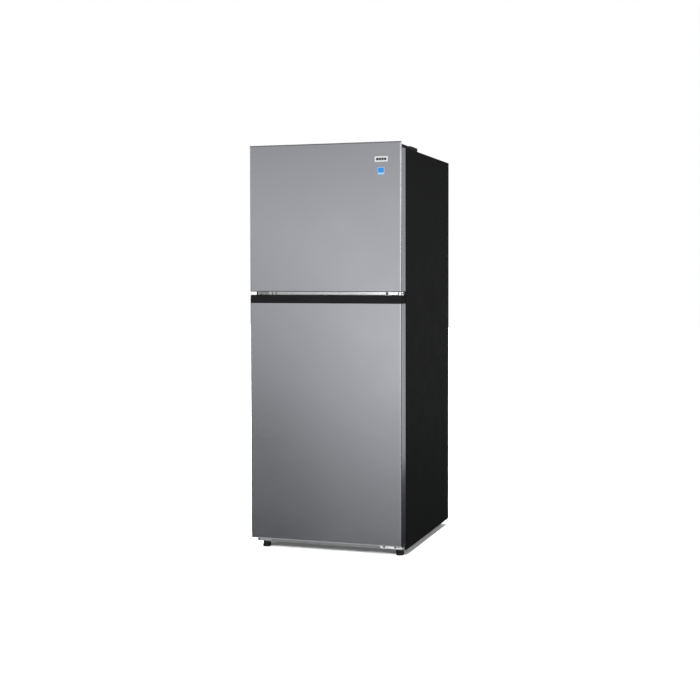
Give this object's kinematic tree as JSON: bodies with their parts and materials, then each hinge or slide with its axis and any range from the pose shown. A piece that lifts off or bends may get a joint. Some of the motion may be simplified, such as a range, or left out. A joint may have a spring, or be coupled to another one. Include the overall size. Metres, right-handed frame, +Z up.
{
  "type": "top freezer refrigerator",
  "caption": "Upright household refrigerator with a freezer above: steel doors with recessed grips, shelves, door bins, a crisper drawer and a rear compressor bay.",
  "frame": {"origin": "on the floor, at the centre of the outline of the refrigerator", "axes": "+Z up; -Y out of the front, the way the doors face; +X to the right as seen from the front, the side of the hinges"},
  "size_m": [0.597, 0.68, 1.53],
  "materials": {
    "door_steel": "satin",
    "black_paint": "satin",
    "rear_grey": "matte",
    "zinc_steel": "satin",
    "foam": "matte",
    "white_plastic": "satin",
    "rail_silver": "satin",
    "rail_grey": "satin",
    "black_plastic": "matte",
    "cap_black": "satin",
    "cap_grey": "satin",
    "nylon": "satin",
    "black_enamel": "gloss",
    "black_rubber": "matte",
    "relay_plastic": "satin",
    "copper": "satin",
    "pan_plastic": "satin",
    "screw_steel": "satin",
    "coil_aluminium": "satin",
    "motor_plastic": "satin",
    "white_wire": "gloss",
    "frame_plastic": "satin",
    "shelf_glass": "gloss",
    "clear_plastic": "gloss",
    "knob_grey": "satin",
    "lamp_diffuser": "satin",
    "hinge_steel": "polished",
    "plug_white": "satin",
    "badge_silver": "polished",
    "label_blue": "gloss",
    "gasket": "satin"
  },
  "bodies": {
    "cabinet": {"side_panel_right": "black_paint", "side_panel_left": "black_paint", "top_panel": "black_paint", "back_panel": "rear_grey", "bottom_panel": "zinc_steel", "cabinet_insulation": "foam", "fridge_liner": "white_plastic", "freezer_liner": "white_plastic", "mullion_rail": "rail_silver", "base_rail": "rail_grey", "compressor_tray": "zinc_steel", "compressor": "black_enamel", "compressor_grommets": "black_rubber", "relay_box": "relay_plastic", "refrigerant_lines": "copper", "drain_pan": "pan_plastic", "drain_tube": "pan_plastic", "rear_cover": "zinc_steel", "rear_spacers": "black_plastic", "cord_gland": "black_rubber", "cabinet_screws": "screw_steel", "evaporator_cover": "white_plastic", "evaporator_coil": "coil_aluminium", "fan_motor": "motor_plastic", "freezer_shelf": "white_wire", "shelf_frames": "frame_plastic", "shelf_glass": "shelf_glass", "control_housing": "white_plastic", "lamp_cover": "lamp_diffuser", "top_hinge": "hinge_steel", "top_hinge_cover": "black_plastic", "middle_hinge": "hinge_steel", "bottom_hinge": "hinge_steel", "hinge_hole_covers": "plug_white"},
    "freezer_door": {"freezer_door_skin": "door_steel", "freezer_door_top_cap": "cap_grey", "freezer_door_bottom_cap": "cap_grey", "freezer_door_insulation": "foam", "freezer_door_liner": "white_plastic", "freezer_door_gasket": "gasket", "door_badge": "badge_silver", "rating_label": "label_blue"},
    "fridge_door": {"fridge_door_skin": "door_steel", "fridge_door_top_cap": "cap_black", "fridge_door_bottom_cap": "cap_grey", "fridge_door_insulation": "foam", "fridge_door_liner": "white_plastic", "fridge_door_gasket": "gasket"},
    "freezer_bin_lower": {"freezer_bin_lower": "clear_plastic"},
    "freezer_bin_upper": {"freezer_bin_upper": "clear_plastic"},
    "door_bin_bottle": {"door_bin_bottle": "clear_plastic"},
    "door_bin_middle": {"door_bin_middle": "clear_plastic"},
    "door_bin_top": {"door_bin_top": "clear_plastic"},
    "crisper_drawer": {"crisper_drawer": "clear_plastic"},
    "control_knob": {"control_knob": "knob_grey"},
    "fan_blade": {"fan_blade": "motor_plastic"},
    "foot_left": {"foot_left": "black_plastic"},
    "foot_right": {"foot_right": "black_plastic"},
    "roller_left": {"roller_left": "nylon"},
    "roller_right": {"roller_right": "nylon"}
  },
  "joints": [
    {"name": "freezer_door_hinge", "type": "hinge", "parent": "cabinet", "child": "freezer_door", "pos_m": [0.2865, -0.311, 1.25], "axis": [0, 0, 1], "range_deg": [0, 120]},
    {"name": "fridge_door_hinge", "type": "hinge", "parent": "cabinet", "child": "fridge_door", "pos_m": [0.2865, -0.311, 0.5], "axis": [0, 0, 1], "range_deg": [0, 120]},
    {"name": "crisper_slide", "type": "slide", "parent": "cabinet", "child": "crisper_drawer", "axis": [0, -1, 0], "range_m": [0, 0.2]},
    {"name": "freezer_bin_lower_lift", "type": "slide", "parent": "freezer_door", "child": "freezer_bin_lower", "axis": [0, 0, 1], "range_m": [0, 0.04]},
    {"name": "freezer_bin_upper_lift", "type": "slide", "parent": "freezer_door", "child": "freezer_bin_upper", "axis": [0, 0, 1], "range_m": [0, 0.04]},
    {"name": "door_bin_bottle_lift", "type": "slide", "parent": "fridge_door", "child": "door_bin_bottle", "axis": [0, 0, 1], "range_m": [0, 0.04]},
    {"name": "door_bin_middle_lift", "type": "slide", "parent": "fridge_door", "child": "door_bin_middle", "axis": [0, 0, 1], "range_m": [0, 0.04]},
    {"name": "door_bin_top_lift", "type": "slide", "parent": "fridge_door", "child": "door_bin_top", "axis": [0, 0, 1], "range_m": [0, 0.04]},
    {"name": "control_knob_turn", "type": "hinge", "parent": "cabinet", "child": "control_knob", "pos_m": [-0.07, -0.11, 0.917], "axis": [0, -1, 0], "range_deg": [0, 270]},
    {"name": "fan_spin", "type": "hinge", "parent": "cabinet", "child": "fan_blade", "pos_m": [0, 0.211, 1.392], "axis": [0, 1, 0], "continuous": true},
    {"name": "foot_left_turn", "type": "hinge", "parent": "cabinet", "child": "foot_left", "pos_m": [-0.2685, -0.258, 0.024], "axis": [0, 0, 1], "continuous": true},
    {"name": "foot_right_turn", "type": "hinge", "parent": "cabinet", "child": "foot_right", "pos_m": [0.2685, -0.258, 0.024], "axis": [0, 0, 1], "continuous": true},
    {"name": "roller_left_spin", "type": "hinge", "parent": "cabinet", "child": "roller_left", "pos_m": [-0.252, 0.276, 0.011], "axis": [1, 0, 0], "continuous": true},
    {"name": "roller_right_spin", "type": "hinge", "parent": "cabinet", "child": "roller_right", "pos_m": [0.252, 0.276, 0.011], "axis": [1, 0, 0], "continuous": true}
  ],
  "couplings": [
    {"joint": "crisper_slide", "follows": "fridge_door_hinge", "m_per_rad": 0.09548}
  ]
}
